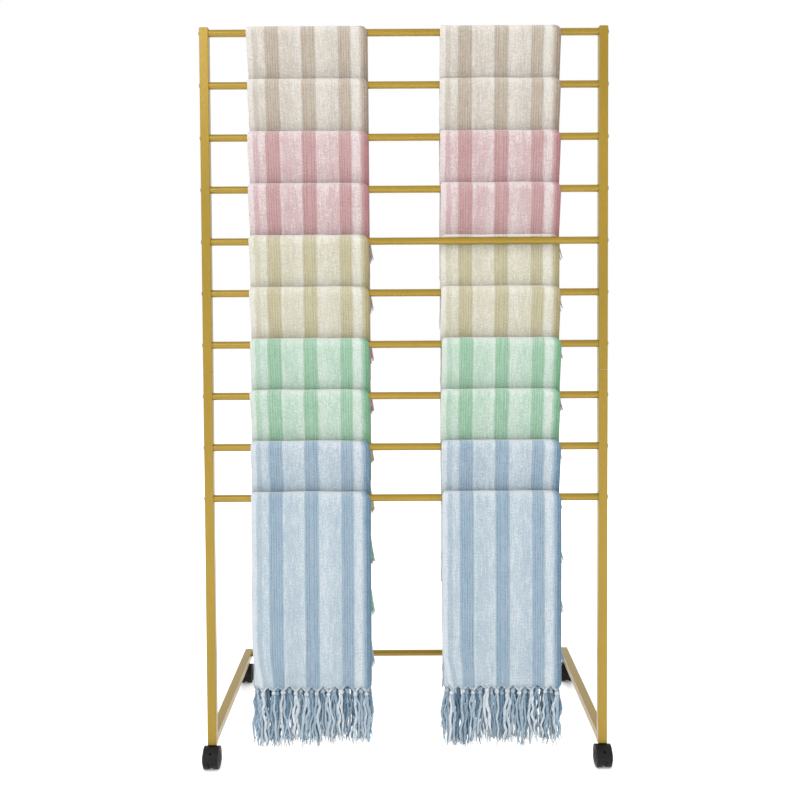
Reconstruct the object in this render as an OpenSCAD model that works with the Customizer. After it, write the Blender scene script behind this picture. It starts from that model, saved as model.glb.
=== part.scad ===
// Wheeled display rack with two columns of folded, fringed throws.
// Millimetres. +Z is up, the front faces -Y, +X is to the right seen from the front.
// The origin is on the floor, under the middle of the whole object.

/* [Rack] */
// Width over the two uprights
rack_w = 980; // [900:10:1200]
// Height from the floor to the top of the uprights
rack_h = 1800; // [1760:10:2000]
// Length of the base, from the uprights' front face to its rear end
base_len = 600; // [500:10:700]
// Outside size of the square tube
tube_w = 22; // [20:1:25]
// Wall of the square tube
tube_wall = 1.2; // [1:0.1:2]
// Outside radius of the square tube's corners
tube_corner = 1.6; // [1.3:0.1:2.5]
// Gap where the upper and lower uprights meet
joint_gap = 0.8; // [0.4:0.1:1.5]

/* [Rungs] */
// Outside diameter of the rungs and the rear rail
rung_d = 18; // [16:0.5:19]
// Wall of the rungs
rung_wall = 1; // [0.8:0.1:1.5]
// Distance from one rung to the next
rung_pitch = 125; // [120:1:130]
// Distance from the top of the uprights to the middle of the top rung
rung_top_margin = 13; // [12:1:20]
// Distance from the base's rear end to the middle of the rear rail
rail_inset = 13; // [12:1:20]

/* [Screws] */
// Diameter of the domed screw heads
head_d = 16; // [12:0.5:18]
// Height of the domed screw heads
head_h = 3.5; // [2.5:0.5:4]
// Diameter of the screw shanks
shank_d = 6; // [5:0.5:6]
// Length of thread that bites into a rung's end plug
thread_len = 14; // [10:1:16]

/* [Casters] */
// Diameter of the caster wheels
wheel_d = 50; // [50:1:50]
// Width over the two domed wheels of one caster
caster_w = 47.5; // [44:0.5:50]
// Width of the hood and of the two treads together
tread_w = 38; // [34:1:40]
// Distance from the swivel's axis to the wheels' axis
trail = 14; // [12:1:16]
// Height of the underside of the steel frame over the floor
caster_h = 56; // [56:1:60]
// Distance from the front swivels to the rear swivels
caster_spacing = 540; // [440:5:550]

/* [Throws] */
// Width of a folded throw
throw_w = 290; // [260:5:300]
// Distance from the rack's middle to the middle of a column of throws
column_x = 232; // [226:1:240]
// Thickness of the folded cloth
cloth_t = 5; // [3:0.5:5]
// Thickness of the hanging fringe
fringe_t = 2; // [1:0.5:3]
// Gap between one layer of folded cloth and the next
cloth_gap = 0.5; // [0.4:0.1:1]
// Distance from a rung's middle down to the hem
hem_drop = 466; // [400:2:480]
// Length of the fringe below the hem
fringe_len = 140; // [100:2:150]
// Throw in the right column that hangs behind its own rung
tucked_throw = 5; // [2:1:9]

/* [Hidden] */
$fn = 64;
eps = 0.01;
LEFT = -1;
RIGHT = 1;
FRONT = 0;
REAR = 1;

// Colours
gold = "#bfa04a";
steel = "#a9abad";
black = "#2b2b2d";
plastic = "#3a3a3c";
throw_colours = ["#e2dacd", "#e4cfd0", "#dcd6bd", "#c3dfcb", "#c6d3df"];

// Rack
rung_count = 10;
rung_r = rung_d / 2;
inner_w = tube_w - 2 * tube_wall;
hood_clear = 1;
hood_wall = 2.5;
wheel_r = wheel_d / 2;
hood_r = wheel_r + hood_clear + hood_wall;
front_reach = trail + hood_r;
rear_reach = base_len - tube_w / 2;
upright_y = -(rear_reach - front_reach) / 2;
upright_x = (rack_w - tube_w) / 2;
cap_h = 3;
cap_plug = 4;
cap_round = 2.2;
base_end = upright_y + rear_reach;
base_z = caster_h + tube_w / 2;
rail_y = base_end - rail_inset;
joint_z = rung_z(7.5);
sleeve_len = 108;
sleeve_wall = 1.5;
sleeve_fit = 0.1;
split_rung = 7;

// Screws
shank_r = shank_d / 2;
screw_hole_r = shank_r + 0.25;
thread_clear = 0.05;
plug_len = thread_len + 4;
plug_fit = 0.05;
socket_size = 4;
socket_depth = 2;

// Casters
axle_r = 3;
axle_len = 40;
axle_fit = 0.05;
wheel_gap = 11;
web_t = 9.4;
stem_r = 4;
stem_fit = 0.05;
stem_foot = 6;
stem_top = 70;
flange_t = 1.5;
socket_bore_top = 72;
socket_top = 74;
rear_socket_r = 7.8;
rear_flange_r = 10;
boss_r = 9;
boss_top = caster_h - flange_t - 0.7;
web_r = wheel_r - 2.5;
dome_h = (caster_w - tread_w) / 2 + 1;
dome_r = (wheel_r * wheel_r + dome_h * dome_h) / (2 * dome_h);
groove_r = 15;
groove_w = 2;
groove_depth = 2.6;
hub_r = 6.5;
hood_eye_d = 5;
hood_eye_z = 19;
hood_eye_end = 13.5;

// Throws
levels = 5;
layer = cloth_t + cloth_gap;
rung_clear = 0.5;
fold_lift = 1;
fold_lead = 16;
bend_steps = 16;
tucked_top = 16;

function rung_z(n) = rack_h - rung_top_margin - (n - 1) * rung_pitch;

// Layers of cloth are counted from the back of the rungs, the nearest being layer 0
function layer_y(i) = rung_r + rung_clear + (i + 0.5) * layer;

// True where throw n of a column hangs behind its own rung
function tucked(side, n) = side == RIGHT && n == tucked_throw;

// The layer that throw n's flap takes behind rung m
function flap_layer(side, n, m, face) =
    2 * (m - n) - (face == FRONT ? 1 : 0) + (tucked(side, m) ? 1 : 0);

// How far behind the rungs throw n's flap is at rung m
function flap_y(side, n, m, face) =
    n == m && face == FRONT && !tucked(side, n)
    ? -layer_y(0)
    : layer_y(flap_layer(side, n, m, face));

// The flap's way down, as pairs of height and distance behind the rungs
function flap_path(side, n, face) = [
    for (m = [n : min(n + levels, rung_count)])
        for (z = [rung_z(m) + (m == n ? fold_lift : fold_lead), rung_z(m)])
            [z, flap_y(side, n, m, face)]
];

// The path's heights between two limits, with the limits themselves
function path_heights(path, top, bottom) = concat(
    [top],
    [for (p = path) if (p[0] < top - eps && p[0] > bottom + eps) p[0]],
    [bottom]
);

// One edge of a flap, moved sideways by the given distance
function flap_edge(path, heights, shift) = [for (z = heights) [lookup(z, path) + shift, z]];

// One side of a flap from the bend to the tip of its fringe
function flap_side(path, top, hem, side) = concat(
    flap_edge(path, path_heights(path, top, hem), side * cloth_t / 2),
    flap_edge(path, path_heights(path, hem, hem - fringe_len), side * fringe_t / 2)
);

// Points of a half circle between its two ends, which are left out
function bend(y, z, r, from, to) =
    let (steps = r < 1 ? 1 : bend_steps)
        [
            for (i = [1 : 1 : steps - 1])
                let (a = from + (to - from) * i / steps)
                    [y + r * cos(a), z + r * sin(a)]
        ];

function reversed(list) = [for (i = [len(list) - 1 : -1 : 0]) list[i]];

// Outline of a whole throw seen from the side, both flaps and the bend between them
function throw_outline(side, n) =
    let (
        top = tucked(side, n) ? rung_z(n) + tucked_top - layer : rung_z(n) + fold_lift,
        hem = rung_z(n) - hem_drop,
        front = flap_path(side, n, FRONT),
        back = flap_path(side, n, REAR),
        y = (flap_y(side, n, n, FRONT) + flap_y(side, n, n, REAR)) / 2,
        r = (flap_y(side, n, n, REAR) - flap_y(side, n, n, FRONT)) / 2
    )
        concat(
            reversed(flap_side(front, top, hem, -1)),
            bend(y, top, r + cloth_t / 2, 180, 0),
            flap_side(back, top, hem, 1),
            reversed(flap_side(back, top, hem, -1)),
            bend(y, top, r - cloth_t / 2, 0, 180),
            flap_side(front, top, hem, 1)
        );

// One folded throw over rung n
module quilt(side, n) {
    color(throw_colours[floor((n - 1) / 2)])
        translate([side * column_x - throw_w / 2, upright_y, 0])
            rotate([90, 0, 90])
                linear_extrude(throw_w) polygon(throw_outline(side, n));
}

// Outline of the square tube with rounded corners
module rounded_square(w, r) {
    square([w, w - 2 * r], center = true);
    square([w - 2 * r, w], center = true);
    for (x = [-1, 1])
        for (y = [-1, 1])
            translate([x * (w / 2 - r), y * (w / 2 - r)]) circle(r, $fn = 32);
}

// A length of square tube standing on z = 0
module square_tube(w, wall, len) {
    linear_extrude(len)
        difference() {
            rounded_square(w, tube_corner);
            square(w - 2 * wall, center = true);
        }
}

// A hole along X through everything
module cross_hole(r) {
    rotate([0, 90, 0]) cylinder(h = 4 * tube_w, r = r, center = true, $fn = 32);
}

// A stretch of upright with the holes of rungs from first to last
module upright(side, z0, z1, first, last) {
    color(gold)
        translate([side * upright_x, upright_y, 0])
            difference() {
                translate([0, 0, z0]) square_tube(tube_w, tube_wall, z1 - z0);
                for (n = [first : last])
                    translate([0, 0, rung_z(n)]) cross_hole(screw_hole_r);
            }
}

module upright_upper(side) {
    upright(side, joint_z + joint_gap / 2, rack_h - cap_h, 1, split_rung);
}

module upright_lower(side) {
    upright(side, caster_h, joint_z - joint_gap / 2, split_rung + 1, rung_count);
}

// Base tube, welded to the upright's rear face
module base_tube(side) {
    front = upright_y + tube_w / 2;
    rear = base_end - cap_h;
    color(gold)
        difference() {
            translate([side * upright_x, front, base_z])
                rotate([-90, 0, 0]) square_tube(tube_w, tube_wall, rear - front);
            translate([side * upright_x, rail_y, base_z]) cross_hole(screw_hole_r);
            translate([side * upright_x, upright_y + caster_spacing, caster_h - 1])
                cylinder(h = 3, r = rear_socket_r + 0.2);
        }
}

// A round tube between the two side frames
module cross_tube(y, z) {
    len = rack_w - 2 * tube_w;
    color(gold)
        translate([-len / 2, y, z])
            rotate([0, 90, 0])
                difference() {
                    cylinder(h = len, r = rung_r);
                    translate([0, 0, -1]) cylinder(h = len + 2, r = rung_r - rung_wall);
                }
}

module rung(n) {
    cross_tube(upright_y, rung_z(n));
}

module rear_rail() {
    cross_tube(rail_y, base_z);
}

// Sleeves inside the uprights that join their upper and lower halves
module sleeve_connectors() {
    color(steel)
        for (side = [LEFT, RIGHT])
            translate([side * upright_x, upright_y, joint_z - sleeve_len / 2])
                square_tube(inner_w - 2 * sleeve_fit, sleeve_wall, sleeve_len);
}

// A push-in cap: a rounded lid on z = 0 to cap_h and a plug below it
module tube_cap() {
    hull() {
        linear_extrude(cap_h - cap_round) rounded_square(tube_w, tube_corner);
        linear_extrude(cap_h - cap_round / 3) rounded_square(tube_w - cap_round, tube_corner);
        linear_extrude(cap_h) rounded_square(tube_w - 2.2 * cap_round, tube_corner);
    }
    translate([0, 0, -cap_plug])
        linear_extrude(cap_plug) square(inner_w - 2 * sleeve_fit, center = true);
}

module end_caps() {
    color(gold)
        for (side = [LEFT, RIGHT]) {
            translate([side * upright_x, upright_y, rack_h - cap_h]) tube_cap();
            translate([side * upright_x, base_end - cap_h, base_z])
                rotate([-90, 0, 0]) tube_cap();
        }
}

// Puts a screw or plug at both ends of every rung and of the rear rail, with +Z pointing out
module at_tube_ends(x) {
    places = concat([for (n = [1 : rung_count]) [upright_y, rung_z(n)]], [[rail_y, base_z]]);
    for (side = [LEFT, RIGHT])
        for (p = places)
            translate([side * x, p[0], p[1]])
                rotate([0, side * 90, 0]) children();
}

// Domed screw with a hexagon socket, its head standing on z = 0
module dome_screw() {
    dome = (head_d * head_d / 4 + head_h * head_h) / (2 * head_h);
    difference() {
        union() {
            intersection() {
                translate([0, 0, head_h - dome]) sphere(dome);
                cylinder(h = head_h, r = head_d / 2);
            }
            translate([0, 0, -tube_w - thread_len])
                cylinder(h = tube_w + thread_len + eps, r = shank_r, $fn = 32);
        }
        translate([0, 0, head_h - socket_depth])
            cylinder(h = socket_depth + 1, r = socket_size / sqrt(3), $fn = 6);
    }
}

module rung_screws() {
    color(gold) at_tube_ends(rack_w / 2) dome_screw();
}

// Threaded plugs pressed into the ends of the rungs and the rear rail
module rung_end_plugs() {
    color(steel)
        at_tube_ends(rack_w / 2 - tube_w)
            translate([0, 0, -plug_len])
                difference() {
                    cylinder(h = plug_len, r = rung_r - rung_wall - plug_fit);
                    translate([0, 0, plug_len - thread_len - 1])
                        cylinder(h = thread_len + 2, r = shank_r + thread_clear, $fn = 32);
                }
}

// Bore that a caster's stem turns in
module stem_bore() {
    translate([0, 0, caster_h - flange_t - 1])
        cylinder(h = socket_bore_top - caster_h + flange_t + 1, r = stem_r + stem_fit);
}

// Sockets that hold the caster stems: plugs in the uprights, bushes in the base tubes
module caster_sockets() {
    color(plastic)
        for (side = [LEFT, RIGHT]) {
            translate([side * upright_x, upright_y, 0])
                difference() {
                    union() {
                        translate([0, 0, caster_h - flange_t])
                            linear_extrude(flange_t) rounded_square(tube_w, tube_corner);
                        translate([0, 0, caster_h - eps])
                            linear_extrude(socket_top - caster_h)
                                square(inner_w - 2 * sleeve_fit, center = true);
                    }
                    stem_bore();
                }
            translate([side * upright_x, upright_y + caster_spacing, 0])
                difference() {
                    union() {
                        translate([0, 0, caster_h - flange_t])
                            cylinder(h = flange_t, r = rear_flange_r);
                        translate([0, 0, caster_h - eps])
                            cylinder(h = socket_top - caster_h, r = rear_socket_r);
                    }
                    stem_bore();
                }
        }
}

// Puts a caster part, drawn about its axle, at one of the four corners
module at_caster(side, end) {
    stem_y = upright_y + (end == REAR ? caster_spacing : 0);
    translate([side * upright_x, stem_y - trail, wheel_r]) children();
}

// A disc about the axle, w wide
module axle_disc(r, w) {
    rotate([0, 90, 0]) cylinder(h = w, r = r, center = true);
}

// Hood over both wheels, with a web between them and a boss for the stem
module caster_hood(side, end) {
    color(black)
        at_caster(side, end)
            difference() {
                union() {
                    intersection() {
                        axle_disc(hood_r, tread_w);
                        translate([-tread_w, -2 * hood_r, 0]) cube([2 * tread_w, 4 * hood_r, 60]);
                    }
                    axle_disc(web_r, web_t);
                    translate([0, trail, 0]) cylinder(h = boss_top - wheel_r, r = boss_r);
                }
                for (s = [-1, 1])
                    translate([s * (web_t / 2 + 20), 0, 0]) axle_disc(wheel_r + hood_clear, 40);
                axle_disc(axle_r, 2 * tread_w);
                translate([0, trail, stem_foot]) cylinder(h = 60, r = stem_r);
                translate([0, -hood_r, hood_eye_z])
                    rotate([-90, 0, 0])
                        cylinder(h = hood_r - hood_eye_end, r = hood_eye_d / 2, $fn = 32);
            }
}

// Swivel stem and axle
module caster_pins(side, end) {
    color(steel)
        at_caster(side, end) {
            axle_disc(axle_r, axle_len);
            translate([0, trail, stem_foot])
                cylinder(h = stem_top - wheel_r - stem_foot, r = stem_r);
        }
}

// One domed wheel on the given side of its caster
module caster_wheel(side, end, wheel_side) {
    color(black)
        at_caster(side, end)
            rotate([0, wheel_side * 90, 0])
                difference() {
                    intersection() {
                        translate([0, 0, wheel_gap / 2])
                            cylinder(h = caster_w / 2, r = wheel_r);
                        translate([0, 0, caster_w / 2 - dome_r]) sphere(dome_r, $fn = 96);
                    }
                    cylinder(h = axle_len / 2 + 0.4, r = axle_r + axle_fit);
                    translate([0, 0, caster_w / 2 - groove_depth])
                        difference() {
                            cylinder(h = 10, r = groove_r);
                            translate([0, 0, -1]) cylinder(h = 12, r = groove_r - groove_w);
                        }
                    translate([0, 0, caster_w / 2 - 1]) cylinder(h = 10, r = hub_r);
                }
}

upright_upper(LEFT);  // upright_upper_left
upright_upper(RIGHT);  // upright_upper_right
upright_lower(LEFT);  // upright_lower_left
upright_lower(RIGHT);  // upright_lower_right
base_tube(LEFT);  // base_tube_left
base_tube(RIGHT);  // base_tube_right
rear_rail();
rung(1);  // rung_01
rung(2);  // rung_02
rung(3);  // rung_03
rung(4);  // rung_04
rung(5);  // rung_05
rung(6);  // rung_06
rung(7);  // rung_07
rung(8);  // rung_08
rung(9);  // rung_09
rung(10);  // rung_10
sleeve_connectors();
end_caps();
rung_screws();
rung_end_plugs();
caster_sockets();
caster_hood(LEFT, FRONT);  // caster_fl_hood
caster_pins(LEFT, FRONT);  // caster_fl_pins
caster_wheel(LEFT, FRONT, LEFT);  // caster_fl_wheel_left
caster_wheel(LEFT, FRONT, RIGHT);  // caster_fl_wheel_right
caster_hood(RIGHT, FRONT);  // caster_fr_hood
caster_pins(RIGHT, FRONT);  // caster_fr_pins
caster_wheel(RIGHT, FRONT, LEFT);  // caster_fr_wheel_left
caster_wheel(RIGHT, FRONT, RIGHT);  // caster_fr_wheel_right
caster_hood(LEFT, REAR);  // caster_rl_hood
caster_pins(LEFT, REAR);  // caster_rl_pins
caster_wheel(LEFT, REAR, LEFT);  // caster_rl_wheel_left
caster_wheel(LEFT, REAR, RIGHT);  // caster_rl_wheel_right
caster_hood(RIGHT, REAR);  // caster_rr_hood
caster_pins(RIGHT, REAR);  // caster_rr_pins
caster_wheel(RIGHT, REAR, LEFT);  // caster_rr_wheel_left
caster_wheel(RIGHT, REAR, RIGHT);  // caster_rr_wheel_right
quilt(LEFT, 1);  // quilt_01_left
quilt(LEFT, 2);  // quilt_02_left
quilt(LEFT, 3);  // quilt_03_left
quilt(LEFT, 4);  // quilt_04_left
quilt(LEFT, 5);  // quilt_05_left
quilt(LEFT, 6);  // quilt_06_left
quilt(LEFT, 7);  // quilt_07_left
quilt(LEFT, 8);  // quilt_08_left
quilt(LEFT, 9);  // quilt_09_left
quilt(LEFT, 10);  // quilt_10_left
quilt(RIGHT, 1);  // quilt_01_right
quilt(RIGHT, 2);  // quilt_02_right
quilt(RIGHT, 3);  // quilt_03_right
quilt(RIGHT, 4);  // quilt_04_right
quilt(RIGHT, 5);  // quilt_05_right
quilt(RIGHT, 6);  // quilt_06_right
quilt(RIGHT, 7);  // quilt_07_right
quilt(RIGHT, 8);  // quilt_08_right
quilt(RIGHT, 9);  // quilt_09_right
quilt(RIGHT, 10);  // quilt_10_right
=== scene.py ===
"""Looks of a wheeled rack with two columns of folded, fringed, striped throws. Metres."""

import math

import bpy
import numpy as np
from mathutils import Matrix, Vector


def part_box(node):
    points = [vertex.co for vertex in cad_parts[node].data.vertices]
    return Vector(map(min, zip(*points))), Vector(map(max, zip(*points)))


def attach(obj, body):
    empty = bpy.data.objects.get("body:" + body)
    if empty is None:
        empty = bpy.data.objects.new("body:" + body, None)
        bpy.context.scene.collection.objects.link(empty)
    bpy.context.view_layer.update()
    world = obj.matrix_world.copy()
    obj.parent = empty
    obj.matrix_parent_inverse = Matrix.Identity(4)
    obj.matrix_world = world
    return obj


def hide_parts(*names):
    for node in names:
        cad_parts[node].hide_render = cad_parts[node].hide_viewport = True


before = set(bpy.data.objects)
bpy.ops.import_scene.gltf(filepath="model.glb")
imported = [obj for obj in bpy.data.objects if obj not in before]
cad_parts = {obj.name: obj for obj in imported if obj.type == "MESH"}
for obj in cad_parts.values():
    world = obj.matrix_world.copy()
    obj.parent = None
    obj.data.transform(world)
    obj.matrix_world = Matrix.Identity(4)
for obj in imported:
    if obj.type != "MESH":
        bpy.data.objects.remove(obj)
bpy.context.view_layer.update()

# The throws' lie, the same as in the CAD
RUNGS = 10
CLOTH_T = 0.005
CLOTH_GAP = 0.0005
LAYER = CLOTH_T + CLOTH_GAP
RUNG_CLEAR = 0.0005
FOLD_LIFT = 0.001
FOLD_LEAD = 0.016
LEVELS = 5
TUCKED = ("right", 5)
TUCKED_TOP = 0.016
HEM_DROP = 0.466
FRINGE_LEN = 0.140
FRONT, BACK = 0, 1
SIDES = ("left", "right")

# A flap's curve: its sampling, its reach past the fold, and how softly its kinks are rounded
CURVE_STEP = 0.001
CURVE_ABOVE = 0.05
CURVE_BELOW = 0.75
KINK_SPREAD = 6
KINK_REACH = 3 * KINK_SPREAD
STRAIGHT_UNDER_FOLD = 0.015

# Rows of points on a flap, as drops below a rung or rises above the hem
ROW_DROPS = (0, 0.014, 0.038, 0.062, 0.086, 0.101, 0.109, 0.117)
FOLD_ROW_DROPS = (0.006, 0.020, 0.037, 0.055, 0.073, 0.091)
HEM_ROWS = (0, 0.006, 0.014)
ROW_STEP = 0.02
FINE_ROW_STEP = 0.017
BEND_POINTS = 13
TUCKED_BEND_POINTS = 9

# The cloth of one throw, which is folded into four plies
PLIES = 4
PLY_T = 0.0010
PLY_PITCH = 0.00125
OUTER_FOLD_R = 1.5 * PLY_PITCH
INNER_FOLD_R = 0.5 * PLY_PITCH
COLUMNS = 8
FINE_COLUMNS = 41

# Its softness: how far it stands out, strays or is drawn in
HANGING_FOLDS = 0.0022
BOTTOM_HANGING_FOLDS = 0.0026
SIDEWAYS = 0.0012
SWELL_REACH = 0.022
EDGE_WANDER = 0.0010
EDGE_NIBBLE = 0.0011
CREST_LIFT = 0.0008
HEM_PULL = 0.013
HEM_PULL_SHARE = 0.33
HEM_SPREAD = 0.0015
SCALLOP = 0.007
# Rounded corners at the top of the fold: radius, side, and reach from the edge
CORNERS = ((0.016, 1, 0.05), (0.007, -1, 0.03))

# The third weave value tells plies, rungs and columns apart
PLY_STEP = 0.37
RUNG_STEP = 1.7
COLUMN_STEP = 0.9

# The fringe of one hem
TASSELS = 10
KNOT_DROP = 0.010
KNOT_SIZE = (1.4, 1.1, 1.4)
TIP_FLOOR = 0.0545
TIP_CLEAR = 0.006
TUFT_YARNS = 7
TUFT_YARN_R = 0.0021
TUFT_INSET = 0.003
TUFT_LENGTH = 0.074
TUFT_EXTRA = 0.022
TUFT_FLARE = {"left": 0.0, "right": 0.0055}
BOTTOM_FLARE = 0.0085

# Colours of a throw: deep (painted shade at the rolled folded edge and on the rear tassels),
# stripe, ground, pale edge
PALETTE = {
    "cream": ((153, 137, 121), (190, 177, 160), (211, 203, 192), (233, 228, 220)),
    "pink": ((173, 118, 120), (195, 154, 155), (213, 185, 185), (234, 222, 222)),
    "khaki": ((168, 157, 112), (196, 189, 154), (215, 210, 189), (235, 233, 222)),
    "green": ((112, 168, 130), (153, 195, 165), (189, 216, 197), (224, 234, 225)),
    "blue": ((98, 132, 156), (151, 175, 193), (184, 201, 212), (219, 227, 233)),
}
PALETTE_ORDER = ("cream", "pink", "khaki", "green", "blue")
STRIPE_TONE = 0.42
GROUND_TONE = 0.80
CLOTH_GAIN = 0.55
YARN_GAIN = 0.565

# Tone across the width of a folded throw: 0 deep, 0.42 stripe, 0.8 ground, 1 pale
STRIPES_AND_EDGE_SHADE = (
    (0.000, 1.00), (0.035, 0.98), (0.046, 0.72), (0.080, 0.72), (0.090, 0.86),
    (0.143, 0.84), (0.149, 0.42), (0.262, 0.44), (0.267, 0.88), (0.300, 0.79),
    (0.360, 0.80), (0.446, 0.88), (0.453, 0.42), (0.502, 0.40), (0.508, 0.56),
    (0.516, 0.40), (0.566, 0.44), (0.572, 0.86), (0.620, 0.88), (0.700, 0.80),
    (0.759, 0.80), (0.766, 0.42), (0.862, 0.46), (0.868, 0.86), (0.900, 0.95),
    # painted shade: the right end falls to deep where the folded edge rolls away, over a darker
    # stripe
    (0.932, 0.90), (0.950, 0.60), (0.966, 0.28), (0.984, 0.04), (1.000, 0.00),
)


# ---------------------------------------------------------------- places

def rung_name(n):
    return f"rung_{n:02d}"


def quilt_name(side, n):
    return f"quilt_{n:02d}_{side}"


def rung_middle(n):
    low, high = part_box(rung_name(n))
    return (low + high) / 2


rung_low, rung_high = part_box(rung_name(1))
RUNG_R = (rung_high.z - rung_low.z) / 2
RUNG_Y = rung_middle(1).y
RUNG_Z = {n: rung_middle(n).z for n in range(1, RUNGS + 1)}
column_low, column_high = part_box(quilt_name("right", 1))
THROW_W = column_high.x - column_low.x
COLUMN_X = {"right": (column_low.x + column_high.x) / 2}
COLUMN_X["left"] = -COLUMN_X["right"]


def colour_of(n):
    return PALETTE_ORDER[(n - 1) // 2]


def smooth(t):
    t = np.clip(t, 0, 1)
    return t * t * (3 - 2 * t)


# ---------------------------------------------------------------- lie of the cloth

def layer_y(i):
    """Distance of a layer's middle behind the rungs, layer 0 being the nearest."""
    return RUNG_R + RUNG_CLEAR + (i + 0.5) * LAYER


def is_tucked(side, n):
    return (side, n) == TUCKED


def flap_y(side, n, m, face):
    """How far behind the rungs throw n's flap is at rung m."""
    if n == m and face == FRONT and not is_tucked(side, n):
        return -layer_y(0)
    step = 2 * (m - n) - (1 if face == FRONT else 0)
    return layer_y(step + (1 if is_tucked(side, m) else 0))


def fold_top(side, n):
    return RUNG_Z[n] + (TUCKED_TOP - LAYER if is_tucked(side, n) else FOLD_LIFT)


def flap_curve(side, n, face):
    """A function from height to the flap's distance behind the rungs, kinks rounded."""
    heights, places = [], []
    for m in range(n, min(n + LEVELS, RUNGS) + 1):
        y = flap_y(side, n, m, face)
        lead = FOLD_LIFT if m == n else FOLD_LEAD
        heights += [RUNG_Z[m] + lead, RUNG_Z[m]]
        places += [y, y]
    top = fold_top(side, n)
    fine = np.arange(top + CURVE_ABOVE, top - CURVE_BELOW, -CURVE_STEP)
    raw = np.interp(fine, heights[::-1], places[::-1])
    reach = np.arange(-KINK_REACH, KINK_REACH + 1)
    weight = np.exp(-0.5 * (reach / KINK_SPREAD) ** 2)
    padded = np.pad(raw, KINK_REACH, mode="edge")
    soft = np.convolve(padded, weight / weight.sum(), mode="valid")
    mixed = raw + (soft - raw) * smooth((top - fine) / STRAIGHT_UNDER_FOLD)
    return lambda z: np.interp(z, fine[::-1], mixed[::-1])


def flap_heights(side, n, face, fine):
    """Heights of a flap's rows of points, from just under the bend to the hem."""
    top, hem = fold_top(side, n), RUNG_Z[n] - HEM_DROP
    heights = [RUNG_Z[m] - drop for m in range(n, RUNGS + 1) for drop in ROW_DROPS]
    step = FINE_ROW_STEP if fine else ROW_STEP
    heights += list(np.arange(heights[-1] - step, hem - step, -step))
    kept = [z for z in heights if hem + 0.02 < z < top - 0.004]
    if face == FRONT:
        kept += [RUNG_Z[n] - drop for drop in FOLD_ROW_DROPS]
    kept += [hem + rise for rise in HEM_ROWS]
    rows = np.array(sorted(set(round(z, 5) for z in kept), reverse=True))
    return rows[rows < top - 0.002]


class Path:
    """The middle line of a folded throw from its front hem over the bend to its back hem."""

    def __init__(self, side, n, fine):
        top = fold_top(side, n)
        front_z, back_z = (flap_heights(side, n, face, fine) for face in (FRONT, BACK))
        front_y = flap_curve(side, n, FRONT)(front_z)
        back_y = flap_curve(side, n, BACK)(back_z)
        y0, y1 = (flap_y(side, n, n, face) for face in (FRONT, BACK))
        middle, r = (y0 + y1) / 2, (y1 - y0) / 2
        count = TUCKED_BEND_POINTS if is_tucked(side, n) else BEND_POINTS
        turn = np.linspace(math.pi, 0, count)
        self.y = np.concatenate([front_y[::-1], middle + r * np.cos(turn), back_y])
        self.z = np.concatenate([front_z[::-1], top + r * np.sin(turn), back_z])
        steps = np.hypot(np.diff(self.y), np.diff(self.z))
        self.s = np.concatenate([[0], np.cumsum(steps)])
        along_y, along_z = np.gradient(self.y, self.s), np.gradient(self.z, self.s)
        size = np.hypot(along_y, along_z)
        self.out_y, self.out_z = -along_z / size, along_y / size
        self.front = np.arange(len(self.y)) < len(front_z)
        self.below = self.z.max() + CLOTH_T / 2 - self.z
        self.hem = RUNG_Z[n] - HEM_DROP
        self.rise = self.z - self.hem


# ---------------------------------------------------------------- section of the cloth

def ply_shares(columns, aligned):
    """Places across a ply as shares of the width, denser towards both edges."""
    inner = np.linspace(0, 1, columns)[1:-1]
    near = np.array([0, 0.014, 0.045])
    if not aligned:
        inner = inner[(inner > 0.07) & (inner < 0.93)]
    both = np.concatenate([near, inner, 1 - near])
    return np.unique(np.round(both, 5))


def section(rng, columns, aligned):
    """The folded section: across x, outward w, ply number and the pattern's share."""
    half = THROW_W / 2
    share = ply_shares(columns, aligned)
    right_outer = half - OUTER_FOLD_R - PLY_T / 2
    right_inner = right_outer - 0.0003
    left_fold = -half + INNER_FOLD_R + PLY_T / 2
    inset = 0.0006 + 0.0022 * rng.random(2)
    x, w, ply, pattern = [], [], [], []

    def add(xs, ws, number, shares):
        x.extend(xs)
        w.extend(ws)
        ply.extend([number] * len(xs))
        pattern.extend(shares)

    def run(x0, x1, level, number, forward):
        shares = share if forward else share[::-1]
        add(x0 + (x1 - x0) * shares, [level * PLY_PITCH] * len(shares), number, shares)

    def fold(cx, cw, r, a0, a1, count, number, edge):
        a = np.radians(np.linspace(a0, a1, count + 2)[1:-1])
        add(cx + r * np.cos(a), cw + r * np.sin(a), number, [edge] * count)

    run(-half + inset[0], right_outer, -1.5, 0, True)
    fold(right_outer, 0, OUTER_FOLD_R, -90, 90, 5, 0, 1.0)
    run(left_fold, right_outer, 1.5, 1, False)
    fold(left_fold, PLY_PITCH, INNER_FOLD_R, 90, 270, 3, 1, 0.0)
    run(left_fold, right_inner, 0.5, 2, True)
    fold(right_inner, 0, INNER_FOLD_R, 90, -90, 3, 2, 1.0)
    run(-half + inset[1], right_inner, -0.5, 3, False)
    return np.array(x), np.array(w), np.array(ply), np.array(pattern)


# ---------------------------------------------------------------- softness of the cloth

def ripple(rng, x, s, waves=6):
    """Soft hanging folds, mostly upright, about -1 to 1."""
    total = np.zeros(np.broadcast(x, s).shape)
    for _ in range(waves):
        length = rng.uniform(0.07, 0.20)
        lean = rng.uniform(-0.35, 0.35)
        phase = rng.uniform(0, 2 * math.pi)
        size = length / 0.14
        total += size * np.sin(2 * math.pi * (x + lean * s) / length + phase)
    return total / (0.75 * waves)


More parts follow.
